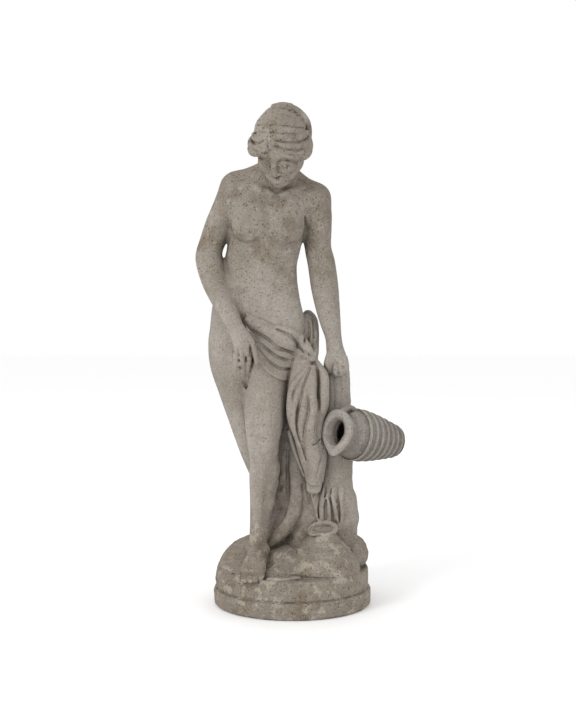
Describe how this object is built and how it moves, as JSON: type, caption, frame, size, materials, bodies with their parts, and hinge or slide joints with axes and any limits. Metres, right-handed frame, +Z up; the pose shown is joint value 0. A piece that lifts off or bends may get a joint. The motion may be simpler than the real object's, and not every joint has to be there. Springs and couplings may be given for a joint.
{
  "type": "woman statue",
  "caption": "Cast stone garden figure of a standing woman with cloth at the hips, by a tree trunk that carries a hollow jug, on a round base.",
  "frame": {"origin": "centre of the underside of the round base", "axes": "+Z up, -Y towards the front, where the figure's front foot and the jug's mouth point, +X towards the trunk and the jug"},
  "size_m": [0.4192, 0.3159, 0.9996],
  "materials": {
    "cast_stone": "matte",
    "jug_stone": "matte"
  },
  "bodies": {
    "root": {"statue": "cast_stone", "jug": "jug_stone"}
  },
  "joints": []
}
